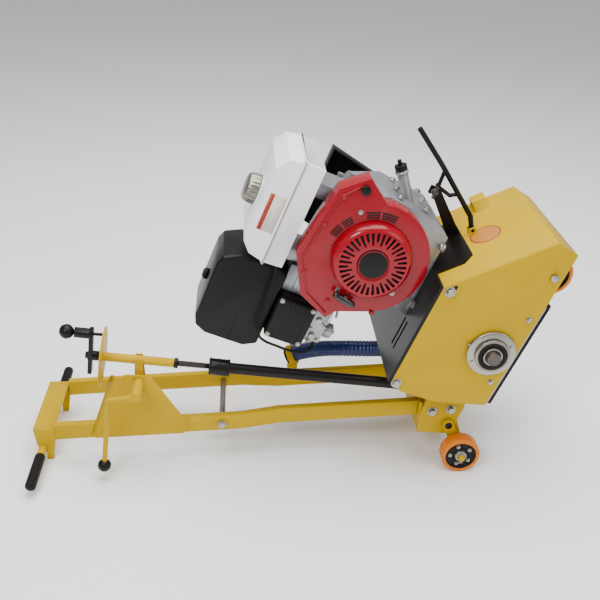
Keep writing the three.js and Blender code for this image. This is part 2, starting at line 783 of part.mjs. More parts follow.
part(housing, "right_front_wheel", frontWheel(-frontWheelOuter, -frontWheelInner), orangeTyre);
part(housing, "left_front_wheel", frontWheel(frontWheelInner, frontWheelOuter), orangeTyre);
part(housing, "lift_bar", liftBar(), blackPaint);

// ---------- belt drive ----------

const beltEnd = beltStart + beltWidth;
const pulleySpan = Math.hypot(crankAxisX - drumX, crankAxisZ - drumZ);
const pulleyAngle = Math.atan2(drumZ - crankAxisZ, drumX - crankAxisX);

// Outline of a belt over both pulleys, standing off their cores by the given distance.
function beltLoop(offset) {
  const bigRadius = enginePulleyCore + offset;
  const smallRadius = drumPulleyCore + offset;
  const wrap = Math.acos((bigRadius - smallRadius) / pulleySpan);
  const loop = new THREE.Shape();
  loop.absarc(crankAxisX, crankAxisZ, bigRadius, pulleyAngle + wrap, pulleyAngle - wrap + 2 * Math.PI, false);
  loop.absarc(drumX, drumZ, smallRadius, pulleyAngle - wrap, pulleyAngle + wrap, false);
  return loop;
}

function driveBelt() {
  const outer = plate(beltLoop(seam + beltThickness), beltStart + 1, beltEnd - 1, 12);
  return cut(outer, plate(beltLoop(seam), beltStart - 1, beltEnd + 1, 12));
}

function pulley(x, z, core, bore) {
  const rim = core + pulleyRim;
  const start = beltStart - 4;
  const end = beltEnd + 4;
  return turned([
    [bore, start], [rim, start], [rim, beltStart], [core, beltStart],
    [core, beltEnd], [rim, beltEnd], [rim, end],
    [bore, end], [bore, start],
  ], x, z, 24);
}

// Shell round both pulleys, open towards the machine, with two feet on the side plate.
function beltGuard() {
  const shape = [[360, 535], [330, 390], [232, -10], [52, -16], [36, 120], [120, 400], [150, 535]];
  const outer = plate(outline(shape), guardStart, guardEnd);
  const hollow = plate(sheetOutlineInside(shape, guardWall), guardStart - 1, guardEnd - guardWall);
  const foot = (x, z) => disc(x, z, 7, housingHalf + seam, guardEnd - 1, 12);
  return joined(cut(outer, hollow), foot(64, 190), foot(270, 205));
}

// The outline drawn inwards by a wall thickness, for a shape listed clockwise.
function sheetOutlineInside(points, wall) {
  const count = points.length;
  const line = points.map(([x, z]) => new THREE.Vector2(x, z));
  return new THREE.Shape(line.map((point, i) => {
    const before = point.clone().sub(line[(i + count - 1) % count]).normalize();
    const after = line[(i + 1) % count].clone().sub(point).normalize();
    const mitre = new THREE.Vector2(before.y + after.y, -before.x - after.x);
    return point.clone().addScaledVector(mitre, wall / (1 + before.dot(after)));
  }));
}

part(housing, "drive_belt", driveBelt(), blackRubber);
const drumPulley = pulley(drumX, drumZ, drumPulleyCore, drumShaftRadius + seam);
const enginePulley = pulley(crankAxisX, crankAxisZ, enginePulleyCore, outputRadius + seam);
part(housing, "drum_pulley", drumPulley, darkSteel);
part(housing, "engine_pulley", enginePulley, darkSteel);
part(housing, "belt_guard", beltGuard(), blackPaint);

// ---------- engine ----------

const controlBoxBottom = carburettorTop + seam;
const cleanerBottom = controlBoxTop + seam;
const baseTop = housingTop + seam + basePlate + seam;
const headStart = 57;
const headEnd = 125;
const carburettorFront = -82;
const shroudBack = crankcaseFront - seam;

// Crankcase casting with its oil neck and the posts that carry the tank.
function crankcase() {
  const body = plate(outline([
    [126, 300], [112, baseTop], [335, baseTop], [362, 300], [376, 430], [345, 505], [300, 522], [126, 520],
  ]), crankcaseFront, crankcaseBack);
  const rearPost = box(130, 160, -50, 60, 500, tankBottom - seam);
  const frontPost = box(300, 335, -50, 60, 480, tankBottom - seam);
  const neck = rod([360, -20, 363], [428, -20, 416], 13, 16);
  const solid = joined(body, rearPost, frontPost, neck);
  return cut(solid, disc(crankAxisX, crankAxisZ, crankRadius + runningGap, -200, 200, 24));
}

function oilCap() {
  return joined(
    rod([428.3, -20, 416.3], [438, -20, 424], 15, 12),
    rod([434, -20, 421], [448, -20, 432], 5, 8),
  );
}

function crankshaft() {
  const flywheelRadius = 108;
  return joined(
    disc(crankAxisX, crankAxisZ, crankRadius, -122, crankcaseBack + 12, 24),
    disc(crankAxisX, crankAxisZ, flywheelRadius, -118, -96, 32),
    disc(crankAxisX, crankAxisZ, outputRadius, 100, guardEnd - 12, 20),
  );
}

const finPitch = 24;
const finThickness = 6;
const finDepth = 4;

function cylinderHead() {
  const body = box(headStart, headEnd, -60, headBack, 425, controlBoxTop - 1);
  const cover = box(headEnd - 1, headEnd + seam, -40, 40, 440, 520);
  const fins = Array.from({ length: 5 }, (_, i) => {
    const bottom = 440 + finPitch * i;
    return box(headStart + 5, headEnd - 5, -66, headBack + finDepth, bottom, bottom + finThickness);
  });
  return joined(body, cover, ...fins);
}

function shroudOutline(wall) {
  const shape = new THREE.Shape();
  const radius = shroudRadius - wall;
  const start = THREE.MathUtils.degToRad(10);
  const end = THREE.MathUtils.degToRad(-158);
  shape.absarc(crankAxisX, crankAxisZ, radius, start, end, true);
  const top = [[82, 440], [57, 458], [92, 536], [184, 586], [282, 574], [366, 558], [414, 504]];
  const centre = new THREE.Vector2(crankAxisX, crankAxisZ + 40);
  for (const [x, z] of top) {
    const point = new THREE.Vector2(x, z);
    const inward = centre.clone().sub(point).normalize().multiplyScalar(wall * 1.4);
    point.add(inward);
    shape.lineTo(point.x, point.y);
  }
  shape.closePath();
  return shape;
}

// Cooling fan housing: a shell open at its back, with a round opening behind the recoil cover.
function fanShroud() {
  const outer = plate(shroudOutline(0), shroudFront, shroudBack, 12);
  const hollow = plate(shroudOutline(4), shroudFront + 4, shroudBack + 2, 12);
  const opening = disc(crankAxisX, crankAxisZ, 72, shroudFront - 5, shroudFront + 10, 32);
  return cut(outer, hollow, opening);
}

function recoilCover() {
  const back = shroudFront - seam;
  return turned([
    [0, recoilFront], [78, recoilFront], [88, recoilFront + 8],
    [96, back], [91, back], [84, recoilFront + 11],
    [76, recoilFront + 4], [0, recoilFront + 4],
  ], crankAxisX, crankAxisZ, 28);
}

const pullX = 125;
const pullZ = 441;
const pullY = -153;

function starterGrip() {
  const toward = new THREE.Vector2(crankAxisX - pullX, crankAxisZ - pullZ).normalize();
  const across = new THREE.Vector2(-toward.y, toward.x).multiplyScalar(27);
  const ropeEnd = [crankAxisX - toward.x * 91.2, pullY, crankAxisZ - toward.y * 91.2];
  return joined(
    rod([pullX - across.x, pullY, pullZ - across.y], [pullX + across.x, pullY, pullZ + across.y], 9, 14),
    rod([pullX, pullY, pullZ], ropeEnd, 3, 8),
  );
}

function fuelTank() {
  const shape = outline([
    [126, tankBottom], [384, tankBottom], [386, 645], [378, 682], [350, tankTop], [158, tankTop], [134, 684],
    [124, 645],
  ]);
  const seamFlange = plate(outline([[120, 643], [390, 643], [390, 649], [120, 649]]), -112, 112);
  return joined(plate(shape, -107, 107), seamFlange);
}

// Everything that stands upright in the engine is turned about the housing's own Z.
function upright(x, y, z0, z1, radius, sides = 28) {
  return rod([x, y, z0], [x, y, z1], radius, sides);
}

function airCleaner() {
  const shape = outline([
    [-100, cleanerBottom], [100, cleanerBottom], [112, 590], [112, 690], [92, 730], [70, 738], [-80, 738],
    [-104, 728], [-117, 700], [-117, 600],
  ]);
  return plate(shape, -80, 85);
}

function carburettor() {
  return joined(
    box(-42, headStart - seam, carburettorFront, -32, 428, carburettorTop),
    upright(-10, -58, 404, 430, 19, 18),
    rod([-42, -58, 448], [-52, -58, 448], 14, 14),
  );
}

const mufflerBack = 134;

function muffler() {
  const shape = outline([
    [-20, 436], [104, 436], [116, 448], [116, 552], [104, 564], [-20, 564], [-32, 552], [-32, 448],
  ]);
  return plate(shape, headBack + finDepth + seam, mufflerBack);
}

// A small lever on the carburettor's front, with a round boss and a thin arm.
function smallLever(x, z, tip) {
  const y1 = carburettorFront - seam;
  const y0 = y1 - 8;
  const arm = rod([x, (y0 + y1) / 2, z], [tip[0], (y0 + y1) / 2, tip[1]], 2.5, 8);
  return joined(disc(x, z, 8, y0, y1, 14), arm);
}

part(housing, "crankcase", crankcase(), castAluminium);
part(housing, "oil_filler_cap", oilCap(), blackPlastic);
part(housing, "crankshaft", crankshaft(), steel);
part(housing, "cylinder_head", cylinderHead(), castAluminium);
part(housing, "fan_shroud", fanShroud(), redPaint);
part(housing, "recoil_cover", recoilCover(), redPaint);
part(housing, "starter_grip", starterGrip(), blackRubber);
part(housing, "fuel_tank", fuelTank(), whitePlastic);
part(housing, "fuel_cap", upright(250, 0, tankTop + seam, 737, capRadius), blackPlastic);
part(housing, "air_cleaner", airCleaner(), blackPlastic);
part(housing, "carburettor", carburettor(), castAluminium);
part(housing, "control_box", box(-62, 54, -100, -32, controlBoxBottom, controlBoxTop), blackPlastic);
part(housing, "muffler", muffler(), darkSteel);
part(housing, "throttle_lever", smallLever(20, 452, [6, 424]), steel);
part(housing, "choke_lever", smallLever(-26, 452, [-50, 460]), steel);
part(housing, "engine_switch", disc(385, 505, 11, shroudFront - 9, shroudFront - seam, 16), blackPlastic);

// The frame's origin is under the middle of the machine, on the ground.
root.updateMatrixWorld(true);
const bounds = new THREE.Box3().setFromObject(root, true);
root.position.set(-(bounds.min.x + bounds.max.x) / 2, -(bounds.min.y + bounds.max.y) / 2, -bounds.min.z);

export default root;
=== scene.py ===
"""Walk-behind floor planer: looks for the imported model. Sizes are in millimetres, placed in metres."""
import json
from math import atan2, cos, hypot, pi, radians, sin

import bpy
from mathutils import Matrix, Vector


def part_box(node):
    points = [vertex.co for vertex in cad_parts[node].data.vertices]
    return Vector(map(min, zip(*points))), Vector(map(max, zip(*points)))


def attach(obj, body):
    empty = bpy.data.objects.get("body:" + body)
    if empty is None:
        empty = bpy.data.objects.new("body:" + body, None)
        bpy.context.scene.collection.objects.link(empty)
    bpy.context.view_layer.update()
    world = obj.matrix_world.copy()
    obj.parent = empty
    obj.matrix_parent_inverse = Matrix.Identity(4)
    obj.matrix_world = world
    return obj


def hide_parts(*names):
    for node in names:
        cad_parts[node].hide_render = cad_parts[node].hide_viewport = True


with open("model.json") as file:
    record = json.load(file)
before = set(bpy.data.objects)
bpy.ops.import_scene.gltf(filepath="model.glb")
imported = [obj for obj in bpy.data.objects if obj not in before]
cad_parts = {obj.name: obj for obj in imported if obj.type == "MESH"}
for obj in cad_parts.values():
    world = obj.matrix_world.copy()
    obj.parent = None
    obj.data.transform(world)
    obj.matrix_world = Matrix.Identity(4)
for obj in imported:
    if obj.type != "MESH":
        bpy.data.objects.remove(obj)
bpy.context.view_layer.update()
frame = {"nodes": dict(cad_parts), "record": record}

MM = 0.001
HOUSING_TILT = radians(68.8)
HOUSING_ORIGIN = Vector((1105, 0, 215))
TRUNNION = Vector((250, -96, 292))
FORK_PIN = Vector((1048, -96, 204))
WHEEL_AXLE_X, WHEEL_AXLE_Z = 1067, 50
BEAM_FACE = 118
PLATE_FACE = 186
GUARD_FACE = 240.2
SHROUD_FACE = -135.2
DRUM_X, DRUM_Z = 139, 62
CRANK_X, CRANK_Z = 236, 420
TO_RIGHT = (0, -1, 0)
TO_LEFT = (0, 1, 0)

# The crossbar's rear edge lies 25 mm behind the zero of the drawing.
crossbar_overhang = 25
zero = Vector((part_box("handle_crossbar")[0][0] + crossbar_overhang * MM, 0, 0))
HANDLE = Matrix.Translation(zero) @ Matrix.Scale(MM, 4)
HOUSING = (
    Matrix.Translation(zero + HOUSING_ORIGIN * MM)
    @ Matrix.Rotation(-HOUSING_TILT, 4, "Y")
    @ Matrix.Scale(MM, 4)
)
CRANK_TILT = atan2(TRUNNION.z - FORK_PIN.z, FORK_PIN.x - TRUNNION.x)
CRANK_LINE = (
    Matrix.Translation(zero + TRUNNION * MM)
    @ Matrix.Rotation(CRANK_TILT, 4, "Y")
    @ Matrix.Scale(MM, 4)
)


# ---------- camera, light and floor ----------

def make_camera():
    """The camera that was fitted to the photograph."""
    data = bpy.data.cameras.new("camera")
    data.sensor_width = 36
    data.lens = 51
    data.clip_start = 0.05
    camera = bpy.data.objects.new("camera", data)
    right = Vector((0.9975, -0.0602, 0.0374))
    forward = Vector((0.0708, 0.8827, -0.4648)).normalized()
    up = right.cross(forward).normalized()
    right = forward.cross(up)
    place = Matrix((right, up, -forward)).transposed().to_4x4()
    place.translation = zero + Vector((496.5, -1898, 1409)) * MM
    camera.matrix_world = place
    bpy.context.scene.collection.objects.link(camera)
    bpy.context.scene.camera = camera


def area_light(name, place, target, size, power):
    data = bpy.data.lights.new(name, "AREA")
    data.shape = "DISK"
    data.size = size
    data.energy = power
    light = bpy.data.objects.new(name, data)
    light.location = place
    light.rotation_euler = (Vector(target) - Vector(place)).to_track_quat("-Z", "Y").to_euler()
    bpy.context.scene.collection.objects.link(light)


def make_studio():
    world = bpy.data.worlds.new("studio")
    bpy.context.scene.world = world
    world.use_nodes = True
    background = world.node_tree.nodes["Background"]
    background.inputs["Color"].default_value = (1, 1, 1, 1)
    background.inputs["Strength"].default_value = 0.5
    area_light("key_light", (-1.3, -2.2, 2.6), (0, 0, 0.3), 1.2, 55)
    area_light("fill_light", (2.4, -1.8, 1.9), (0.2, 0, 0.4), 1.8, 22)
    area_light("top_light", (0.2, 0.2, 3.4), (0, 0, 0), 3.4, 190)
    bpy.ops.mesh.primitive_plane_add(size=40, location=(0, 0, -0.0005))
    floor = bpy.context.object
    floor.name = "floor"
    floor.data.materials.append(floor_coat())


# ---------- materials ----------

# The colour sockets of a Mix node, which share their names with its number sockets.
MIX_A, MIX_B, MIX_RESULT = 6, 7, 2


def node(tree, kind, **inputs):
    made = tree.nodes.new(kind)
    for name, value in inputs.items():
        made.inputs[name.replace("_", " ")].default_value = value
    return made


def coat(name, color, roughness, metallic=0.0, vary=0.06, grain=600, bump=0.1,
         clear=0.0, wear=None, specular=0.5):
    """A surface whose colour, roughness and bump all vary a little, with optional worn edges."""
    material = bpy.data.materials.new(name)
    material.use_nodes = True
    tree = material.node_tree
    shader = tree.nodes["Principled BSDF"]
    shader.inputs["Metallic"].default_value = metallic
    shader.inputs["Coat Weight"].default_value = clear
    shader.inputs["Coat Roughness"].default_value = 0.08
    shader.inputs["Specular IOR Level"].default_value = specular
    place = tree.nodes.new("ShaderNodeTexCoord")

    def noise(scale, detail):
        made = node(tree, "ShaderNodeTexNoise", Scale=scale, Detail=detail, Roughness=0.6)
        tree.links.new(place.outputs["Object"], made.inputs["Vector"])
        return made

    broad = noise(7, 3)
    ramp = tree.nodes.new("ShaderNodeValToRGB")
    ramp.color_ramp.elements[0].position = 0.3
    ramp.color_ramp.elements[1].position = 0.7
    ramp.color_ramp.elements[0].color = [c * (1 - vary) for c in color] + [1]
    ramp.color_ramp.elements[1].color = [min(1, c * (1 + vary)) for c in color] + [1]
    tree.links.new(broad.outputs["Fac"], ramp.inputs["Fac"])
    last = ramp.outputs["Color"]
    if wear:
        geometry = tree.nodes.new("ShaderNodeNewGeometry")
        edge = tree.nodes.new("ShaderNodeValToRGB")
        edge.color_ramp.elements[0].position = 0.56
        edge.color_ramp.elements[1].position = 0.66
        patch = noise(60, 4)
        product = tree.nodes.new("ShaderNodeMath")
        product.operation = "MULTIPLY"
        mix = tree.nodes.new("ShaderNodeMix")
        mix.data_type = "RGBA"
        mix.inputs[MIX_B].default_value = list(wear) + [1]
        tree.links.new(geometry.outputs["Pointiness"], edge.inputs["Fac"])
        tree.links.new(edge.outputs["Color"], product.inputs[0])
        tree.links.new(patch.outputs["Fac"], product.inputs[1])
        tree.links.new(product.outputs["Value"], mix.inputs[0])
        tree.links.new(last, mix.inputs[MIX_A])
        last = mix.outputs[MIX_RESULT]
    tree.links.new(last, shader.inputs["Base Color"])
    fine = noise(grain, 2)
    span = node(tree, "ShaderNodeMapRange", To_Min=max(0.02, roughness - 0.06), To_Max=roughness + 0.08)
    tree.links.new(fine.outputs["Fac"], span.inputs["Value"])
    tree.links.new(span.outputs["Result"], shader.inputs["Roughness"])
    relief = node(tree, "ShaderNodeBump", Strength=bump, Distance=0.0006)
    tree.links.new(fine.outputs["Fac"], relief.inputs["Height"])
    tree.links.new(relief.outputs["Normal"], shader.inputs["Normal"])
    return material


def floor_coat():
    return coat("floor_paper", (0.97, 0.97, 0.97), 0.7, vary=0.004, grain=90, bump=0.02)


YELLOW = coat("yellow_paint", (0.50, 0.315, 0.0), 0.36, vary=0.03, grain=420, bump=0.05, specular=0.1,
              wear=(0.36, 0.20, 0.0))
BLACK_PAINT = coat("black_paint", (0.005, 0.0035, 0.003), 0.34, vary=0.25, grain=380, bump=0.08,
                   specular=0.22, wear=(0.014, 0.01, 0.008))
RED = coat("red_paint", (0.27, 0.0, 0.008), 0.22, vary=0.06, grain=300, bump=0.03, clear=0.25, specular=0.25)
TANK = coat("tank_plastic", (0.93, 0.90, 0.93), 0.3, vary=0.02, grain=260, bump=0.03, clear=0.25)
BLACK_PLASTIC = coat("black_plastic", (0.004, 0.0035, 0.0035), 0.36, vary=0.2, grain=900, bump=0.22,
                     specular=0.22)
BALL_BLACK = coat("ball_black", (0.005, 0.0035, 0.0035), 0.16, vary=0.15, grain=300, bump=0.02, clear=0.3)
RUBBER = coat("black_rubber", (0.006, 0.005, 0.004), 0.6, vary=0.2, grain=700, bump=0.3, specular=0.2)
ZINC = coat("zinc_steel", (0.36, 0.34, 0.30), 0.28, 0.95, vary=0.1, grain=500, bump=0.08)
TURNED = coat("turned_steel", (0.25, 0.235, 0.20), 0.3, 0.9, vary=0.2, grain=300, bump=0.1)
DARK_STEEL = coat("dark_steel", (0.10, 0.085, 0.075), 0.42, 0.85, vary=0.3, grain=200, bump=0.18)
CAST = coat("cast_aluminium", (0.34, 0.35, 0.37), 0.4, 0.8, vary=0.14, grain=420, bump=0.35)
TYRE = coat("orange_tyre", (0.62, 0.16, 0.0), 0.42, vary=0.05, grain=260, bump=0.1, specular=0.3,
            wear=(0.6, 0.15, 0.0))
HOSE = coat("blue_hose", (0.001, 0.02, 0.14), 0.3, vary=0.12, grain=500, bump=0.08, clear=0.2)
STICKER = coat("sticker_paper", (0.45, 0.17, 0.02), 0.4, vary=0.03, grain=500, bump=0.02)
LABEL = coat("label_paper", (0.62, 0.56, 0.5), 0.45, vary=0.05, grain=500, bump=0.02)
STICKER_RING = coat("sticker_ring", (0.32, 0.02, 0.0), 0.4, vary=0.05, grain=500, bump=0.02)
# Flat black used as painted shade inside holes, slots and vents and behind the recoil's slots, and also for
# the air cleaner's dark cover seam.
PAINTED_SHADE_AND_SEAM = coat("painted_shade_and_seam_black", (0.004, 0.004, 0.004), 0.8, vary=0.2, grain=300, bump=0.1)

SLOT_COATS = {
    "yellow_paint": YELLOW, "black_paint": BLACK_PAINT, "red_paint": RED, "white_plastic": TANK,
    "black_plastic": BLACK_PLASTIC, "black_rubber": RUBBER, "zinc_steel": ZINC, "dark_steel": DARK_STEEL,
    "cast_aluminium": CAST, "orange_tyre": TYRE, "blue_hose": HOSE,
}
# Smooth shading spoils this folded plate, so its faces stay flat.
FLAT_NODES = {"engine_base"}
# Edge rounding of the carried-over nodes in millimetres.
PLAIN_EDGE = 0.8
EDGE_WIDTH = {
    "fuel_tank": 15, "air_cleaner": 13, "control_box": 9, "muffler": 8, "fan_shroud": 5, "cylinder_head": 2,
    "crankcase": 5, "carburettor": 3, "belt_guard": 4, "right_arm": 3, "left_arm": 3, "fuel_cap": 3,
    "right_end_plate": 1.5, "left_end_plate": 1.5, "axle_beam": 1.5, "gusset_plate": 1.5, "swing_axle": 2,
}


def dress_nodes():
    """Every carried-over node gets its coat and softened edges, and all but the FLAT_NODES get smooth
    shading.
    """
    slot_of = {entry["node"]: entry["material_slot"] for entry in frame["record"]["subparts"]}
    for name, thing in frame["nodes"].items():
        thing.data.materials.clear()
        thing.data.materials.append(SLOT_COATS[slot_of[name]])
        for face in thing.data.polygons:
            face.use_smooth = name not in FLAT_NODES
        soften(thing, EDGE_WIDTH.get(name, PLAIN_EDGE))


def soften(thing, width, segments=3):
    weld = thing.modifiers.new("weld", "WELD")
    weld.merge_threshold = 0.00001
    bevel = thing.modifiers.new("edges", "BEVEL")
    bevel.width = width * MM
    bevel.segments = segments if width > 1 else 2
    bevel.limit_method = "ANGLE"
    bevel.angle_limit = radians(32)
    bevel.harden_normals = True


# ---------- mesh helpers ----------

def piece(name, verts, faces, material, body, slot, place=HANDLE, smooth=True):
    """A new mesh in the millimetres of its place, baked into the row frame and riding on a body."""
    mesh = bpy.data.meshes.new(name)
    mesh.from_pydata([place @ Vector(v) for v in verts], [], faces)
    mesh.validate()
    mesh.materials.append(material)
    for face in mesh.polygons:
        face.use_smooth = smooth
    thing = bpy.data.objects.new(name, mesh)
    bpy.context.scene.collection.objects.link(thing)
    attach(thing, body)
    return thing


def join_shapes(*shapes):
    verts, faces = [], []
    for more_verts, more_faces in shapes:
        start = len(verts)
        verts.extend(more_verts)
        faces.extend([tuple(i + start for i in face) for face in more_faces])
    return verts, faces


def moved(shape, matrix):
    verts, faces = shape
    return [tuple(matrix @ Vector(v)) for v in verts], faces


def lathe(profile, steps=48, closed=False):
    """(radius, height) points turned about the local Z axis."""
    verts, faces = [], []
    for radius, height in profile:
        for i in range(steps):
            angle = 2 * pi * i / steps
            verts.append((radius * cos(angle), radius * sin(angle), height))
    rows = len(profile)
    for row in range(rows if closed else rows - 1):
        a = row * steps
        b = ((row + 1) % rows) * steps
        for i in range(steps):
            j = (i + 1) % steps
            faces.append((a + i, a + j, b + j, b + i))
    if not closed:
        if profile[0][0] > 1e-6:
            faces.append(tuple(reversed(range(steps))))
        if profile[-1][0] > 1e-6:
            faces.append(tuple((rows - 1) * steps + i for i in range(steps)))
    return verts, faces


def toward(origin, direction):
    """A matrix that carries local +Z onto the given direction at the given place."""
    turn = Vector(direction).to_track_quat("Z", "Y").to_matrix().to_4x4()
    return Matrix.Translation(origin) @ turn


def hex_bolt(across, head, washer=True):
    """A hexagon head with a chamfered top on a washer, standing on the local XY plane."""
    radius = across / 3 ** 0.5
    low = 1.6 if washer else 0
    sides = []
    turns = [pi * i / 3 for i in range(6)]
    for level, size in ((low, 1), (low + head * 0.82, 1), (low + head, 0.86)):
        sides.append([(radius * size * cos(turn), radius * size * sin(turn), level) for turn in turns])
    verts = [v for ring in sides for v in ring]
    faces = []
    for low_row, high_row in ((0, 6), (6, 12)):
        for i in range(6):
            j = (i + 1) % 6
            faces.append((low_row + i, low_row + j, high_row + j, high_row + i))
    faces.append(tuple(range(12, 18)))
    faces.append(tuple(reversed(range(6))))
    shapes = [(verts, faces)]
    if washer:
        outer = across * 0.78
        shapes.append(lathe([(0, 0), (outer, 0), (outer, 1.2), (outer - 0.6, 1.7), (0, 1.7)], 32))
    return join_shapes(*shapes)


def bolts(name, places, across, head, direction, body, place, washer=True, material=None, slot="zinc_steel"):
    shape = join_shapes(*[moved(hex_bolt(across, head, washer), toward(at, direction)) for at in places])
    thing = piece(name, *shape, material or ZINC, body, slot, place, smooth=False)
    edges = thing.modifiers.new("edges", "BEVEL")
    edges.width = 0.3 * MM
    edges.segments = 2
    edges.limit_method = "ANGLE"
    return thing


def sweep(path, radius, sides=16):
    """A tube along a list of points. radius is a number or a function of the point's index."""
    points = [Vector(p) for p in path]
    verts, faces = [], []
    normal = None
    for i, point in enumerate(points):
        tangent = (points[min(i + 1, len(points) - 1)] - points[max(i - 1, 0)]).normalized()
        if normal is None:
            normal = tangent.orthogonal().normalized()
        normal = (normal - tangent * normal.dot(tangent)).normalized()
        binormal = tangent.cross(normal)
        size = radius(i) if callable(radius) else radius
        for k in range(sides):
            angle = 2 * pi * k / sides
            verts.append(tuple(point + normal * size * cos(angle) + binormal * size * sin(angle)))
    for i in range(len(points) - 1):
        for k in range(sides):
            j = (k + 1) % sides
            faces.append((i * sides + k, i * sides + j, (i + 1) * sides + j, (i + 1) * sides + k))
    faces.append(tuple(reversed(range(sides))))
    faces.append(tuple((len(points) - 1) * sides + k for k in range(sides)))
    return verts, faces


def smooth_path(points, per_span=10):
    """A Catmull-Rom line through the points."""
    line = [Vector(p) for p in points]
    ends = [line[0] * 2 - line[1]] + line + [line[-1] * 2 - line[-2]]
    made = []
    for i in range(1, len(ends) - 2):
        a, b, c, d = ends[i - 1:i + 3]
        for step in range(per_span):
            t = step / per_span
            made.append(0.5 * (2 * b + (c - a) * t + (2 * a - 5 * b + 4 * c - d) * t * t
                               + (3 * b - a - 3 * c + d) * t ** 3))
    made.append(line[-1])
    return made


def block(low, high):
    (x0, y0, z0), (x1, y1, z1) = low, high
    verts = [(x, y, z) for x in (x0, x1) for y in (y0, y1) for z in (z0, z1)]
    faces = [(0, 1, 3, 2), (4, 6, 7, 5), (0, 4, 5, 1), (2, 3, 7, 6), (0, 2, 6, 4), (1, 5, 7, 3)]
    return verts, faces


def prism(low_ring, high_ring):
    """A solid between two rings of the same number of points."""
    count = len(low_ring)
    faces = [(i, (i + 1) % count, count + (i + 1) % count, count + i) for i in range(count)]
    faces += [tuple(reversed(range(count))), tuple(range(count, 2 * count))]
    return low_ring + high_ring, faces


def long_hole_shade(x, z, reach, radius, y0, y1):
    """Painted shade inside a slot: a thin dark sheet of two half circles whose centres are reach from the
    middle.
    """
    rim = []
    for i in range(24):
        angle = 2 * pi * i / 24
        end = reach if cos(angle) > 0 else -reach
        rim.append((x + end + radius * cos(angle), z + radius * sin(angle)))
    return prism([(p, y0, q) for p, q in rim], [(p, y1, q) for p, q in rim])


# ---------- wheels ----------

def rolling_wheel(name):
    """Polyurethane tyre on a black dished hub with a bearing and five bolts."""
    body = cad_node = f"{name}_wheel"
    low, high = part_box(cad_node)
    middle = (Vector(low) + Vector(high)) / 2 / MM
    half = (high[1] - low[1]) / 2 / MM
    place = Matrix.Scale(MM, 4) @ toward(middle, TO_LEFT)
    tyre_profile = [(40, -half), (45, -half), (48.4, -half + 1.6), (49.8, -half + 5)]
    tyre_profile += [(49.8, half - 5), (48.4, half - 1.6), (45, half), (40, half), (39.4, 0)]
    tyre = piece(f"{name}_tyre", *lathe(tyre_profile, 72, closed=True), TYRE, body, "orange_tyre", place)
    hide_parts(cad_node)
    dish = half - 6
    bolt_circle = 27
    hub_profile = [(9, -half + 1), (16, -half + 1), (18, -half + 2), (19, -dish), (35, -dish),
                   (37, -half + 3), (39.2, -half + 1.4), (39.2, half - 1.4), (37, half - 3), (35, dish),
                   (19, dish), (18, half - 2), (16, half - 1), (9, half - 1)]
    piece(f"{name}_hub", *lathe(hub_profile, 64, closed=True), BLACK_PLASTIC, body, "black_plastic", place)
    race_profile = [(8.4, -half + 0.6), (15, -half + 0.6), (15, half - 0.6), (8.4, half - 0.6)]
    piece(f"{name}_bearing", *lathe(race_profile, 48, closed=True), TURNED, body, "zinc_steel", place)
    for side in (-1, 1):
        turns = [2 * pi * i / 5 for i in range(5)]
        spots = [(bolt_circle * cos(turn), bolt_circle * sin(turn), side * dish) for turn in turns]
        face = "outer" if side > 0 else "inner"
        bolts(f"{name}_hub_bolts_{face}", spots, 7, 3, (0, 0, side), body, place)


def axle_ends():
    """Turned washers and split pins at both ends of the lifting axle."""
    x, z = WHEEL_AXLE_X, WHEEL_AXLE_Z
    for side, name in ((-1, "right"), (1, "left")):
        washer = moved(lathe([(8.6, 0), (14, 0), (14, 2), (8.6, 2)], 40, closed=True),
                       toward((x, side * 178.4, z), (0, side, 0)))
        piece(f"{name}_axle_washer", *washer, ZINC, "swing_axle", "zinc_steel")
        y = side * 184.5
        turns = [i * pi / 6 for i in range(13)]
        pin = join_shapes(
            sweep([(x, y, z + 10), (x, y, z - 12), (x + 3, y + side, z - 16)], 1.5, 10),
            sweep([(x - 1, y, z + 10), (x - 1.4, y, z - 12), (x - 6, y + side, z - 17)], 1.5, 10),
            sweep([(x + 4.05 * cos(a), y, z + 12 + 5 * sin(a)) for a in turns], 1.4, 10),
        )
        piece(f"{name}_split_pin", *pin, ZINC, "swing_axle", "zinc_steel")


# ---------- handle and linkage ----------

def knurled_grip(name, side):
    """Rubber grip with rows of raised diamonds and a rounded end."""
    steps, rows = 48, 84
    inner, outer = 143, 263
    tube_x, tube_z = -5, 34
    verts, faces = [], []
    for row in range(rows + 1):
        t = row / rows
        y = inner + (outer - inner) * t
        end = min(t, 1 - t) * (outer - inner)
        crown = 1 if end > 3 else 0.80 + 0.2 * sin(end / 3 * pi / 2)
        for i in range(steps):
            angle = 2 * pi * i / steps
            diamond = abs(sin(angle * 6 + y * 0.42)) * abs(sin(angle * 6 - y * 0.42))
            band = 1 if end > 6 else 0
            radius = crown * (13.0 + 0.75 * band * diamond)
            verts.append((tube_x + radius * cos(angle), side * y, tube_z + radius * sin(angle)))
    for row in range(rows):
        for i in range(steps):
            j = (i + 1) % steps
            quad = (row * steps + i, row * steps + j, (row + 1) * steps + j, (row + 1) * steps + i)
            faces.append(quad if side < 0 else tuple(reversed(quad)))
    last = tuple(rows * steps + i for i in range(steps))
    faces.append(tuple(reversed(last)) if side > 0 else last)
    faces.append(tuple(range(steps)) if side > 0 else tuple(reversed(range(steps))))
    grip = piece(f"{name}_rubber", verts, faces, RUBBER, "chassis", "black_rubber")
    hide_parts(name)


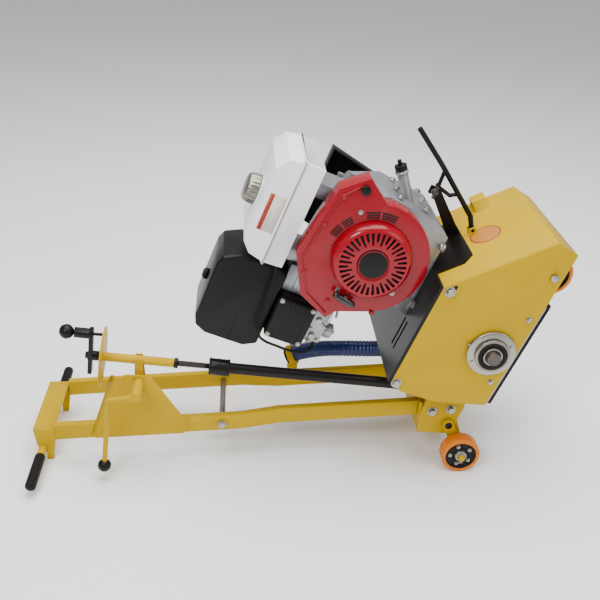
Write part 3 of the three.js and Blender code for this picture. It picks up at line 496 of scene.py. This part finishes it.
def handle_details():
    """Bolts of the spacer and the axle beam, the painted shade of the beam's slots and the caps of the pivot.
    """
    bolts("spacer_heads", [(453, -117.2, 110.6)], 15, 5, TO_RIGHT, "chassis", HANDLE)
    beam_bolts = ((993, 149), (1041, 155))
    pivot_x, pivot_z = 1037, 114
    sides = ((-1, "right", TO_RIGHT), (1, "left", TO_LEFT))
    for side, name, direction in sides:
        places = [(x, side * (BEAM_FACE + 0.2), z) for x, z in beam_bolts]
        bolts(f"beam_bolts_{name}", places, 17, 8, direction, "chassis", HANDLE)
    for side, name, direction in sides:
        low, high = side * (BEAM_FACE + 0.05), side * (BEAM_FACE + 0.25)
        slots = [long_hole_shade(x, z, 7.2, 7, low, high) for x, z in beam_bolts]
        # Thin dark sheets on the beam are painted shade standing in for the inside of its slots.
        piece(f"{name}_beam_slot_shade", *join_shapes(*slots), PAINTED_SHADE_AND_SEAM, "chassis", "black_paint")
        cap = moved(lathe([(0, 0), (9, 0), (9.4, 0.6), (9.4, 1.6), (8, 2.4), (0, 2.4)], 40),
                    toward((pivot_x, side * 132.2, pivot_z), direction))
        piece(f"{name}_pivot_cap", *cap, BLACK_PAINT, "swing_axle", "black_paint")


def crank_details():
    """Screw thread, rings of the nut and the crank's own nut, along the crank line."""
    turns, per_turn = 24, 14
    thread_start, thread_length, thread_radius = 98, 64, 7
    thread = []
    for i in range(turns * per_turn + 1):
        angle = 2 * pi * i / per_turn
        x = thread_start + thread_length * i / (turns * per_turn)
        thread.append((x, thread_radius * cos(angle), thread_radius * sin(angle)))
    piece("screw_thread", *sweep(thread, 0.7, 6), DARK_STEEL, "crank", "dark_steel", CRANK_LINE)
    ring = lathe([(20.6, 0), (21.9, 0.6), (21.9, 3.4), (20.6, 4)], 48, closed=True)
    rings = join_shapes(*[moved(ring, toward((x, 0, 0), (1, 0, 0))) for x in (174, 195, 218)])
    piece("nut_rings", *rings, BLACK_PAINT, "push_tube", "black_paint", CRANK_LINE)
    nut = moved(hex_bolt(15, 6), toward((-122, 0, 0), (-1, 0, 0)))
    piece("crank_nut", *nut, BLACK_PAINT, "crank", "black_paint", CRANK_LINE, smooth=False)


def hose():
    """Ribbed hose along the route of its solid, with a cuff at one end and a clamp at the other."""
    route = [(629, 100, 182), (662, 95, 199), (712, 84, 215), (765, 76, 222), (861, 74, 222), (905, 80, 222)]
    line = smooth_path(route, 44)

    def rib(i):
        return 21.6 + 1.15 * cos(2 * pi * i / 4.4)

    tube = piece("hose_ribs", *sweep(line, rib, 32), HOSE, "chassis", "blue_hose")
    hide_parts("dust_hose")
    start, ahead = Vector(line[0]), (Vector(line[6]) - Vector(line[0])).normalized()
    cuff = lathe([(22.7, -1), (24.6, -1), (24.6, 5), (22.7, 5)], 48, closed=True)
    piece("hose_cuff", *moved(cuff, toward(start, ahead)), RUBBER, "chassis", "black_rubber")
    end, behind = Vector(line[-1]), (Vector(line[-1]) - Vector(line[-8])).normalized()
    band = lathe([(22.9, -18), (24.2, -18), (24.2, -8), (22.9, -8)], 48, closed=True)
    screw = block((-5, 23, -17), (5, 31, -9))
    clamp = moved(join_shapes(band, screw), toward(end, behind))
    piece("hose_clamp", *clamp, ZINC, "chassis", "zinc_steel")


# ---------- housing ----------

def housing_details():
    """Bolts and the painted shade of the adjusting slot of each side plate, and the right bearing's bolts and
    grease nipple.
    """
    big = ((-21, 237), (248, 231))
    small = ((252, 21), (66, 22))
    for side, name, direction in ((-1, "right", TO_RIGHT), (1, "left", TO_LEFT)):
        y = side * (PLATE_FACE + 0.2)
        bolts(f"{name}_plate_bolts", [(x, y, z) for x, z in big], 17, 8, direction, "chassis", HOUSING)
        bolts(f"{name}_skirt_bolts", [(x, y, z) for x, z in small], 10, 5, direction, "chassis", HOUSING)
        # A thin dark sheet is painted shade standing in for the inside of the adjusting slot.
        hole = long_hole_shade(258, 224.5, 6.3, 4.5, side * (PLATE_FACE + 0.05), side * (PLATE_FACE + 0.25))
        piece(f"{name}_plate_slot_shade", *hole, PAINTED_SHADE_AND_SEAM, "chassis", "black_paint", HOUSING)
    flange_thickness, bolt_circle = 8, 50.5
    flange_face = -PLATE_FACE - flange_thickness - 0.4
    turns = [radians(45 + 90 * i) for i in range(4)]
    spots = [(DRUM_X + bolt_circle * cos(a), flange_face, DRUM_Z + bolt_circle * sin(a)) for a in turns]
    bolts("flange_bolts", spots, 8, 3, TO_RIGHT, "chassis", HOUSING, washer=False)
    nipple = moved(lathe([(0, 0), (3.4, 0), (3.4, 3), (2, 3.6), (2, 6), (3, 8), (2.4, 9.5), (0, 10)], 24),
                   toward((143, -192, 121.6), (0, 0, 1)))
    piece("grease_nipple", *nipple, TURNED, "chassis", "zinc_steel", HOUSING)


def bearing_cover():
    """Turned cover ring, seal and centre of the drum bearing on the right side."""
    axis = toward((DRUM_X, 0, DRUM_Z), TO_RIGHT)

    def ring(profile):
        return moved(lathe(profile, 72, closed=True), axis)

    cover = ring([(36, 194.4), (43, 194.4), (43, 203.6), (41.6, 205.4), (36.6, 205.8), (36, 204.6)])
    piece("bearing_cover_ring", *cover, TURNED, "chassis", "zinc_steel", HOUSING)
    seal = ring([(24, 204.9), (35.8, 204.9), (35.8, 206.2), (33, 207), (27, 207), (24, 206)])
    piece("bearing_seal", *seal, RUBBER, "chassis", "black_rubber", HOUSING)
    lip = ring([(17.6, 205.2), (23.6, 205.2), (23.6, 208.4), (21.6, 209.4), (17.6, 209.4)])
    piece("bearing_inner_ring", *lip, TURNED, "drum", "zinc_steel", HOUSING)
    centre = moved(lathe([(0, 220.2), (11, 220.2), (15.5, 220.4), (16.6, 221), (16.9, 219)], 48), axis)
    piece("shaft_end", *centre, DARK_STEEL, "drum", "dark_steel", HOUSING)


SLOPE_RUN, SLOPE_DROP = 197, 193


def on_slope(distance, height):
    """X and Z of a spot on the hood's slope, measured from its top edge and off its face."""
    top_x, top_z = 252, 250
    length = hypot(SLOPE_RUN, SLOPE_DROP)
    along, off = distance / length, height / length
    return top_x + SLOPE_RUN * along + SLOPE_DROP * off, top_z - SLOPE_DROP * along + SLOPE_RUN * off


def sticker():
    """A blank round label with a coloured rim on the hood."""
    x, z = on_slope(146, 0.35)
    slope = HOUSING @ toward((x, -12, z), (SLOPE_DROP, 0, SLOPE_RUN))
    paper = lathe([(0, 0), (38, 0), (38.2, 0.2), (37.8, 0.35), (0, 0.35)], 72)
    piece("sticker_paper", *paper, STICKER, "chassis", "yellow_paint", slope)
    rim = lathe([(36.4, 0.3), (39.2, 0.3), (39.2, 0.5), (36.4, 0.5)], 72, closed=True)
    piece("sticker_rim", *rim, STICKER_RING, "chassis", "yellow_paint", slope)


def cutters():
    """Toothed wheels threaded on the six rods of the drum."""
    teeth, tip, root = 8, 20.6, 16.5
    rods, rod_circle = 6, 52
    first, pitch, thickness = -88, 9.9, 7
    wheels = []
    for k in range(rods):
        angle = 2 * pi * k / rods
        centre_x = DRUM_X + rod_circle * cos(angle)
        centre_z = DRUM_Z + rod_circle * sin(angle)
        for n in range(18):
            y0 = first + n * pitch
            rim = []
            for i in range(teeth * 2):
                radius = tip if i % 2 == 0 else root
                turn = pi * i / teeth + n * 0.4 + k
                rim.append((centre_x + radius * cos(turn), centre_z + radius * sin(turn)))
            wheels.append(prism([(x, y0, z) for x, z in rim], [(x, y0 + thickness, z) for x, z in rim]))
    disc = lathe([(17.4, 0), (61, 0), (62, 1), (62, 9), (61, 10), (17.4, 10)], 48, closed=True)
    discs = [moved(disc, toward((DRUM_X, y, DRUM_Z), TO_LEFT)) for y in (-100, 90)]
    core = lathe([(17.4, 0), (31, 0), (31, 180), (17.4, 180)], 40, closed=True)
    core = moved(core, toward((DRUM_X, -90, DRUM_Z), TO_LEFT))
    shape = join_shapes(*wheels, *discs, core)
    drum = piece("cutter_wheels", *shape, DARK_STEEL, "drum", "dark_steel", HOUSING, smooth=False)
    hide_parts("drum")


# ---------- engine ----------

def facing_right(x, z):
    """Local Z points to the operator's right, and local X along the housing's X."""
    return Matrix.Translation((x, 0, z)) @ Matrix.Rotation(pi / 2, 4, "X")


def round_crank(radius, angle, y=SHROUD_FACE):
    """A place on a circle round the crankshaft, by default on the shroud's face."""
    return CRANK_X + radius * cos(angle), y, CRANK_Z + radius * sin(angle)


def recoil():
    """Domed cover with a ring of cut slots round a blank centre plate, and a dark disc under the slots as
    painted shade.
    """
    steps = 144
    long_slot_start, slot_start = 49, 57
    rings = [(0, 163.2), (37, 163.2), (39, 165.4), (43, 165.8), (long_slot_start, 165.2), (slot_start, 164.9),
             (78, 163.8), (84, 161.6), (89, 157.4), (92.6, 151), (94.8, 143), (95.8, 135.5)]
    verts = [(0, 0, rings[0][1])]
    turns = [2 * pi * i / steps for i in range(steps)]
    for radius, height in rings[1:]:
        verts += [(radius * cos(turn), radius * sin(turn), height) for turn in turns]
    faces = [(0, 1 + i, 1 + (i + 1) % steps) for i in range(steps)]
    for row in range(1, len(rings) - 1):
        inner = rings[row][0]
        for i in range(steps):
            open_cell = i % 4 in (1, 2)
            long_slot = (i // 4) % 2 == 0
            if open_cell and (inner == slot_start or (inner == long_slot_start and long_slot)):
                continue
            a, b = 1 + (row - 1) * steps, 1 + row * steps
            j = (i + 1) % steps
            faces.append((a + i, b + i, b + j, a + j))
    place = HOUSING @ facing_right(CRANK_X, CRANK_Z)
    cover = piece("recoil_shell", verts, faces, RED, "chassis", "red_paint", place)
    wall = cover.modifiers.new("wall", "SOLIDIFY")
    wall.thickness = 2.2 * MM
    wall.offset = -1
    round_over = cover.modifiers.new("edges", "BEVEL")
    round_over.width = 0.5 * MM
    round_over.segments = 2
    round_over.limit_method = "ANGLE"
    round_over.angle_limit = radians(50)
    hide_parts("recoil_cover")
    # The dark disc under the cover is painted shade seen through the cut slots.
    shade_disc = lathe([(0, 156), (84, 156), (84, 157), (0, 157)], 64)
    piece("recoil_slot_shade", *shade_disc, PAINTED_SHADE_AND_SEAM, "chassis", "black_plastic", place)
    plate = lathe([(0, 166.4), (33, 166.4), (35.6, 165.8), (36.4, 164.6), (36.4, 163.4), (0, 163.4)], 72)
    piece("recoil_plate", *plate, BLACK_PLASTIC, "chassis", "black_plastic", place)
    rim = lathe([(33.4, 166.4), (35.2, 166.2), (35.2, 166.7), (33.4, 166.9)], 72, closed=True)
    piece("recoil_plate_rim", *rim, RED, "chassis", "red_paint", place)
    spots = [round_crank(radius, radians(turn)) for radius, turn in ((121, 37), (103, -126), (108, 158))]
    bolts("recoil_bolts", spots, 8, 4, TO_RIGHT, "chassis", HOUSING)


def shroud_details():
    """Four groups of curved louvre slits drawn as dark tubes of painted shade, the red-painted bolts and a
    pressed rib along the shroud's top.
    """
    first_radius, pitch, lip_offset = 103, 6.6, 3
    face = -135
    louvre_shade, lips = [], []
    for low, high in ((48, 61), (64, 78), (-6, 12), (15, 31)):
        turns = [radians(low + (high - low) * i / 10) for i in range(11)]
        for k in range(3):
            radius = first_radius + pitch * k
            # Each dark tube is painted shade in a louvre's opening; the red tube beside it is the louvre's
            # lip.
            louvre_shade.append(sweep([round_crank(radius, turn, face) for turn in turns], 1.9, 10))
            lips.append(sweep([round_crank(radius + lip_offset, turn, face) for turn in turns], 1.1, 8))
    piece("shroud_louvre_shade", *join_shapes(*louvre_shade), PAINTED_SHADE_AND_SEAM, "chassis", "red_paint", HOUSING)
    piece("shroud_louvre_lips", *join_shapes(*lips), RED, "chassis", "red_paint", HOUSING)
    spots = [(x, SHROUD_FACE, z) for x, z in ((101, 470), (150, 552), (276, 556), (352, 542), (110, 360))]
    bolts("shroud_bolts", spots, 9, 4, TO_RIGHT, "chassis", HOUSING, material=RED, slot="red_paint")
    crest = [(70, -135.6, 462), (101, -136.6, 524), (180, -137, 572), (280, -137, 561),
             (352, -136.6, 548), (392, -135.6, 512)]
    rib = sweep(crest, 2.2, 12)
    piece("shroud_rib", *rib, RED, "chassis", "red_paint", HOUSING)


def starter_handle():
    """Tee grip with a rope that runs back to the cover."""
    pull = Vector((125, -153, 441))
    along = Vector((CRANK_X - pull.x, 0, CRANK_Z - pull.z)).normalized()
    across = Vector((-along.z, 0, along.x))
    line = [pull + across * t for t in (-29, -28, -24, -14, -7, 0, 7, 14, 24, 28, 29)]
    sizes = [4, 6.6, 8.2, 8.6, 9.4, 10, 9.4, 8.6, 8.2, 6.6, 4]
    tee = sweep(line, lambda i: sizes[i], 28)
    grip = piece("starter_tee", *tee, BALL_BLACK, "starter_grip", "black_rubber", HOUSING)
    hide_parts("starter_grip")
    neck = sweep([pull, pull + along * 9, pull + along * 13], lambda i: (7, 6.4, 4)[i], 20)
    piece("starter_neck", *neck, BALL_BLACK, "starter_grip", "black_rubber", HOUSING)
    rope = sweep([pull + along * 8, pull + along * 21.2], 2.4, 14)
    piece("starter_rope", *rope, RUBBER, "starter_grip", "black_rubber", HOUSING)


def tank_details():
    """Seam between the tank halves, a ribbed cap with its neck ring, and a blank label."""
    corner = 15.6
    rim = []
    for k, (cx, cy) in enumerate([(136, -96), (374, -96), (374, 96), (136, 96)]):
        turns = [pi + k * pi / 2 + t * pi / 12 for t in range(7)]
        rim += [(cx + corner * cos(turn), cy + corner * sin(turn)) for turn in turns]
    seam = prism([(x, y, 645) for x, y in rim], [(x, y, 650) for x, y in rim])
    lip = piece("tank_seam", *seam, TANK, "chassis", "white_plastic", HOUSING)
    soften(lip, 1.2)
    cap_x, ribs = 250, 48
    profile = [(0, 737.4), (27, 737.4), (31, 735.6), (33.6, 732), (35.6, 722), (36.6, 709),
               (36.2, 705.6), (0, 705.6)]
    cap_verts, cap_faces = lathe(profile, ribs * 4)
    lobed = []
    for x, y, z in cap_verts:
        radius = hypot(x, y)
        if radius > 32 and 706 < z < 733:
            grow = (radius + 0.55 * cos(ribs * atan2(y, x) / 2)) / radius
            x, y = x * grow, y * grow
        lobed.append((x + cap_x, y, z))
    cap = piece("fuel_cap_ribbed", lobed, cap_faces, TURNED, "fuel_cap", "zinc_steel", HOUSING)
    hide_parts("fuel_cap")
    neck = lathe([(38, 703), (41, 703), (41, 706), (39.6, 707), (38, 707)], 64, closed=True)
    neck = moved(neck, Matrix.Translation((cap_x, 0, 0)))
    piece("tank_neck_ring", *neck, TANK, "chassis", "white_plastic", HOUSING)
    label = block((199, -107.6, 652), (291, -107, 681))
    piece("tank_label", *label, LABEL, "chassis", "white_plastic", HOUSING)
    band = block((199, -107.7, 681), (291, -107, 691))
    piece("tank_label_band", *band, STICKER_RING, "chassis", "yellow_paint", HOUSING)


def cleaner_details():
    """Cover line and knob of the air cleaner, the painted shade in the control box's vent openings, and its
    screws.
    """
    low, high = 640, 643
    line = [block((-114, y - 0.4, low), (109, y + 0.4, high)) for y in (-80.4, 85.4)]
    line.append(block((-117.5, -74, low), (-116.6, 79, high)))
    piece("cleaner_line", *join_shapes(*line), PAINTED_SHADE_AND_SEAM, "chassis", "black_plastic", HOUSING)
    knob = lathe([(0, 13), (9, 13), (12, 11), (13, 6), (12, 0), (0, 0)], 40)
    rib = block((-1.5, -14, 0), (1.5, 14, 9))
    ribs = [moved(rib, Matrix.Rotation(k * pi / 3, 4, "Z")) for k in range(3)]
    knob = moved(join_shapes(knob, *ribs), Matrix.Translation((0, 0, 737.4)))
    piece("cleaner_knob", *knob, BLACK_PLASTIC, "chassis", "black_plastic", HOUSING)
    # Dark bars on the control box are painted shade in its vent openings.
    vent_shade = [block((-48, -100.8, 486 + 12 * k), (40, -99.6, 489 + 12 * k)) for k in range(6)]
    piece("control_box_vent_shade", *join_shapes(*vent_shade), PAINTED_SHADE_AND_SEAM, "chassis", "black_plastic", HOUSING)
    corners = [(x, -100.2, z) for z in (479, 560) for x in (-52, 45)]
    bolts("control_box_screws", corners, 8, 3, TO_RIGHT, "chassis", HOUSING)


def carburettor_details():
    """Bowl, screws, linkage rod, fuel pipe and spark plug lead round the carburettor."""
    bowl_bottom = (-10, -58, 401.6)
    bowl = lathe([(0, 0), (13, 0), (18, 3), (19.6, 9), (19.6, 24), (22, 25), (22, 28), (0, 28)], 56)
    bowl = moved(bowl, Matrix.Translation(bowl_bottom))
    piece("carburettor_bowl", *bowl, CAST, "chassis", "cast_aluminium", HOUSING)
    nut = moved(hex_bolt(10, 5, washer=False), toward(bowl_bottom, (0, 0, -1)))
    piece("bowl_nut", *nut, ZINC, "chassis", "zinc_steel", HOUSING, smooth=False)
    places = [(-34, -82.2, 436), (48, -82.2, 436), (48, -82.2, 462), (-8, -82.2, 462)]
    bolts("carburettor_screws", places, 7, 3, TO_RIGHT, "chassis", HOUSING)
    rod = sweep([(14, -92.5, 434), (30, -93, 428), (52, -94, 430), (70, -94, 446)], 1.3, 8)
    turns, per_turn, coil = 14, 10, 3
    spring = []
    for i in range(turns * per_turn + 1):
        angle = 2 * pi * i / per_turn
        t = i / (turns * per_turn)
        spring.append((44 + 34 * t, -90 + coil * cos(angle), 418 + 8 * t + coil * sin(angle)))
    piece("linkage_rod", *join_shapes(rod, sweep(spring, 0.6, 6)), ZINC, "chassis", "zinc_steel", HOUSING)
    pipe_points = [(-44, -62, 440), (-66, -70, 436), (-76, -92, 462), (-74, -104, 520),
                   (-60, -104, 580), (20, -98, 596), (104, -98, 604), (130, -98, 612)]
    pipe = smooth_path(pipe_points, 8)
    piece("fuel_pipe", *sweep(pipe, 3.4, 14), RUBBER, "chassis", "black_rubber", HOUSING)
    lead = smooth_path([(60, 30, 566), (40, 60, 575), (90, 86, 560), (150, 80, 530), (170, 70, 510)], 8)
    piece("spark_lead", *sweep(lead, 3.2, 12), RUBBER, "chassis", "black_rubber", HOUSING)


def crankcase_details():
    """Cover screws, ribs, feet and engine bolts, and the collar of the oil neck."""
    lean = 0.045
    spots = [(373.5 + (z - 330) * lean, y, z) for y in (-60, 0, 60) for z in (330, 400)]
    bolts("crankcase_screws", spots, 11, 5, (1, 0, 0.05), "chassis", HOUSING)
    ribs = [block((352, y, 436), (370 - 0.2 * abs(y), y + 5, 512)) for y in (-56, -28, 28, 56)]
    ribs += [block((300, y, 515), (344, y + 5, 530)) for y in (-70, 66)]
    web = piece("crankcase_ribs", *join_shapes(*ribs), CAST, "chassis", "cast_aluminium", HOUSING)
    soften(web, 1.5)
    flange = [block((128, -84.4, 259), (332, -70, 268)), block((128, 80, 259), (332, 95.4, 268))]
    feet = piece("mounting_feet", *join_shapes(*flange), CAST, "chassis", "cast_aluminium", HOUSING)
    soften(feet, 2)
    places = [(x, y, 258.6) for y in (-92, 104) for x in (150, 310)]
    bolts("engine_bolts", places, 14, 9, (0, 0, 1), "chassis", HOUSING)
    collar = lathe([(13.2, -3), (16, -3), (16, 3), (13.2, 3)], 32, closed=True)
    collar = moved(collar, toward((424, -20, 413), (68, 0, 53)))
    piece("oil_neck_collar", *collar, CAST, "chassis", "cast_aluminium", HOUSING)


def muffler_details():
    """Painted shade in the staggered holes of the muffler's guard, and the outlet."""
    pitch = 18
    hole = lathe([(0, 0), (5, 0), (5, 0.4), (0, 0.4)], 16)
    holes = []
    for row in range(6):
        stagger = pitch / 2 if row % 2 else 0
        for column in range(7):
            spot = (-18 + pitch * column + stagger, 134.2, 452 + pitch * row)
            holes.append(moved(hole, toward(spot, TO_LEFT)))
    # Thin dark discs are painted shade standing in for the guard's holes.
    piece("muffler_guard_hole_shade", *join_shapes(*holes), PAINTED_SHADE_AND_SEAM, "chassis", "dark_steel", HOUSING)
    tail = smooth_path([(30, 128, 560), (30, 128, 572), (26, 136, 580)], 8)
    piece("muffler_outlet", *sweep(tail, 11, 24), DARK_STEEL, "chassis", "dark_steel", HOUSING)


def guard_details():
    """Screws of the belt guard and the painted shade of its vent slots."""
    corners = ((335, 515), (312, 395), (165, 515), (130, 402), (60, 120), (218, 12))
    spots = [(x, GUARD_FACE, z) for x, z in corners]
    bolts("guard_screws", spots, 12, 5, TO_LEFT, "chassis", HOUSING)
    vent = block((-32, GUARD_FACE - 0.4, -2), (32, GUARD_FACE + 0.4, 2))
    vents = [moved(vent, Matrix.Translation((CRANK_X, 0, 388 + 13 * k))) for k in range(6)]
    # Thin dark bars are painted shade standing in for the guard's vent slots.
    piece("guard_vent_shade", *join_shapes(*vents), PAINTED_SHADE_AND_SEAM, "chassis", "black_paint", HOUSING)


def bar_details():
    """Wing knob and clamp plate that hold the lift bar's branch."""
    hub = lathe([(0, 0), (8, 0), (9, 2), (9, 9), (7, 12), (0, 12)], 32)
    wings = [block((-16, -3, 3), (-6, 3, 13)), block((6, -3, 3), (16, 3, 13))]
    shape = moved(join_shapes(hub, *wings), toward((402, 10, 308), TO_RIGHT))
    knob = piece("clamp_knob", *shape, BALL_BLACK, "chassis", "black_plastic", HOUSING)
    soften(knob, 1.5)
    shape = block((388, 28, 294), (410, 33.6, 316))
    plate = piece("clamp_plate", *shape, BLACK_PAINT, "chassis", "black_paint", HOUSING)
    soften(plate, 2)


def main():
    make_camera()
    make_studio()
    dress_nodes()
    for name in ("right_rear", "left_rear", "right_front", "left_front"):
        rolling_wheel(name)
    axle_ends()
    knurled_grip("right_grip", -1)
    knurled_grip("left_grip", 1)
    handle_details()
    crank_details()
    hose()
    housing_details()
    bearing_cover()
    sticker()
    cutters()
    recoil()
    shroud_details()
    starter_handle()
    tank_details()
    cleaner_details()
    carburettor_details()
    crankcase_details()
    muffler_details()
    guard_details()
    bar_details()


main()
